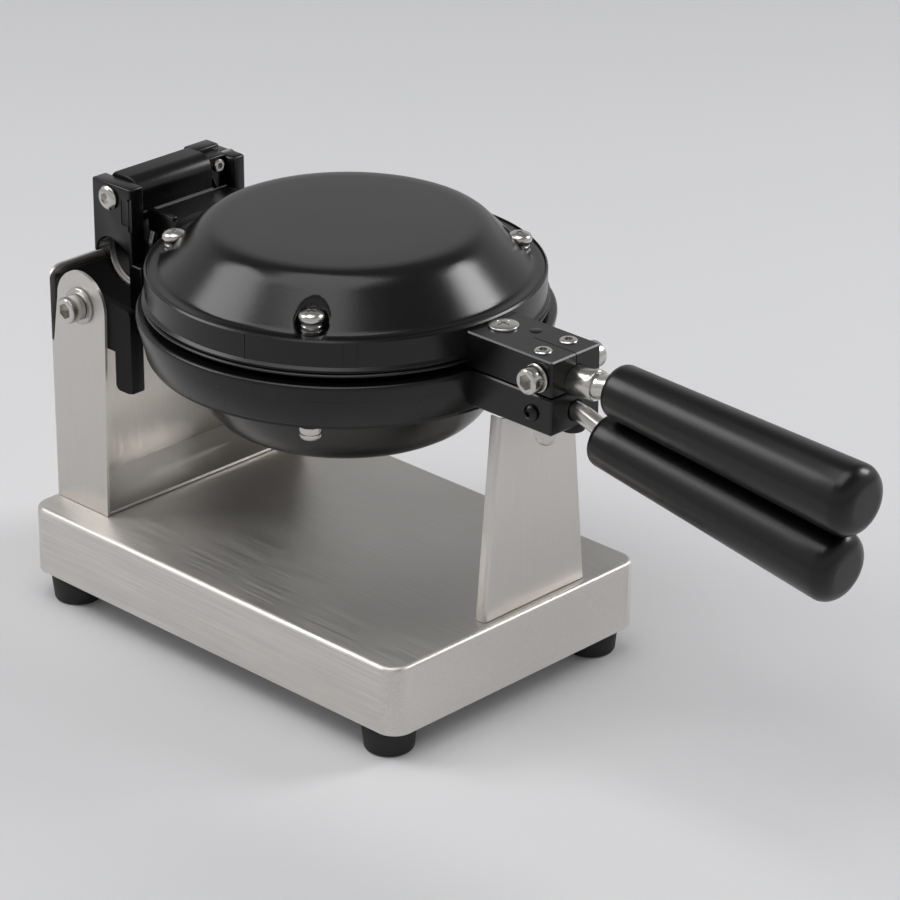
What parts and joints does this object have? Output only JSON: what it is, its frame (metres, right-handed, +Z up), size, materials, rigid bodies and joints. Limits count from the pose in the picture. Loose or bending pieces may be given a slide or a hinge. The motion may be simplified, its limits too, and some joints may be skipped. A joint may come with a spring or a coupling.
{
  "type": "bubble waffle maker",
  "caption": "Turn-over bubble waffle iron: round hinged pans with a long double grip, carried between pedestals on a stainless tray with rubber feet.",
  "frame": {"origin": "under the middle of the whole machine, on the surface that the feet stand on", "axes": "+X from the rear pedestal towards the grips, +Y to the far side of the picture, +Z up"},
  "size_m": [0.4654, 0.2, 0.2165],
  "materials": {
    "brushed_stainless": "warm grey stainless sheet with fine brushed grain",
    "bright_steel": "bright plated or turned steel",
    "black_casting": "cast aluminium with a black semi-matt coating",
    "satin_black": "pressed aluminium cover with a satin charcoal coating",
    "coated_plate": "cast aluminium with a dark non-stick coating",
    "heater_steel": "dull heat-toned steel",
    "black_grip": "moulded black heat-proof plastic, satin",
    "foot_rubber": "black rubber"
  },
  "bodies": {
    "base": {"base_tray": "brushed_stainless", "base_plate": "brushed_stainless", "foot_front_near": "foot_rubber", "foot_front_far": "foot_rubber", "foot_rear_near": "foot_rubber", "foot_rear_far": "foot_rubber", "foot_screw_front_near": "bright_steel", "foot_screw_front_far": "bright_steel", "foot_screw_rear_near": "bright_steel", "foot_screw_rear_far": "bright_steel", "rear_pedestal": "brushed_stainless", "bearing_carrier": "black_casting", "side_washer_far": "bright_steel", "side_washer_near": "bright_steel", "side_bolt_far": "bright_steel", "side_bolt_near": "bright_steel", "bearing_ring": "bright_steel", "bearing_face": "black_casting", "front_pedestal": "brushed_stainless"},
    "iron": {"spindle": "bright_steel", "spindle_nut": "bright_steel", "spindle_hub": "black_casting", "hub_ring": "bright_steel", "hinge_bracket": "black_casting", "hinge_pin": "bright_steel", "hinge_lock_screw": "bright_steel", "bracket_screw_near": "bright_steel", "bracket_screw_far": "bright_steel", "lower_pan": "black_casting", "lower_baking_plate": "coated_plate", "lower_heater": "heater_steel", "lower_press_plate": "heater_steel", "lower_cover": "satin_black", "lower_cover_screw_front_near": "bright_steel", "lower_cover_screw_front_far": "bright_steel", "lower_cover_screw_rear_near": "bright_steel", "lower_cover_screw_rear_far": "bright_steel", "lower_arm_screw": "black_casting", "acorn_nut": "bright_steel", "arm_bumper": "foot_rubber", "lower_rod": "bright_steel", "lower_grip": "black_grip"},
    "lid": {"upper_pan": "black_casting", "upper_baking_plate": "coated_plate", "upper_heater": "heater_steel", "upper_press_plate": "heater_steel", "upper_cover": "satin_black", "upper_cover_screw_front_near": "bright_steel", "upper_cover_screw_front_far": "bright_steel", "upper_cover_screw_rear_near": "bright_steel", "upper_cover_screw_rear_far": "bright_steel", "arm_bolt_near": "bright_steel", "arm_bolt_far": "bright_steel", "arm_top_screw": "bright_steel", "clamp_screw_near": "bright_steel", "clamp_screw_far": "bright_steel", "upper_rod": "bright_steel", "upper_grip": "black_grip"}
  },
  "joints": [
    {"name": "turnover", "type": "hinge", "parent": "base", "child": "iron", "pos_m": [-0.0828, 0, 0.1745], "axis": [1, 0, 0], "range_deg": [-60, 60]},
    {"name": "lid_hinge", "type": "hinge", "parent": "iron", "child": "lid", "pos_m": [-0.2054, 0, 0.2054], "axis": [0, -1, 0], "range_deg": [0, 95]}
  ]
}
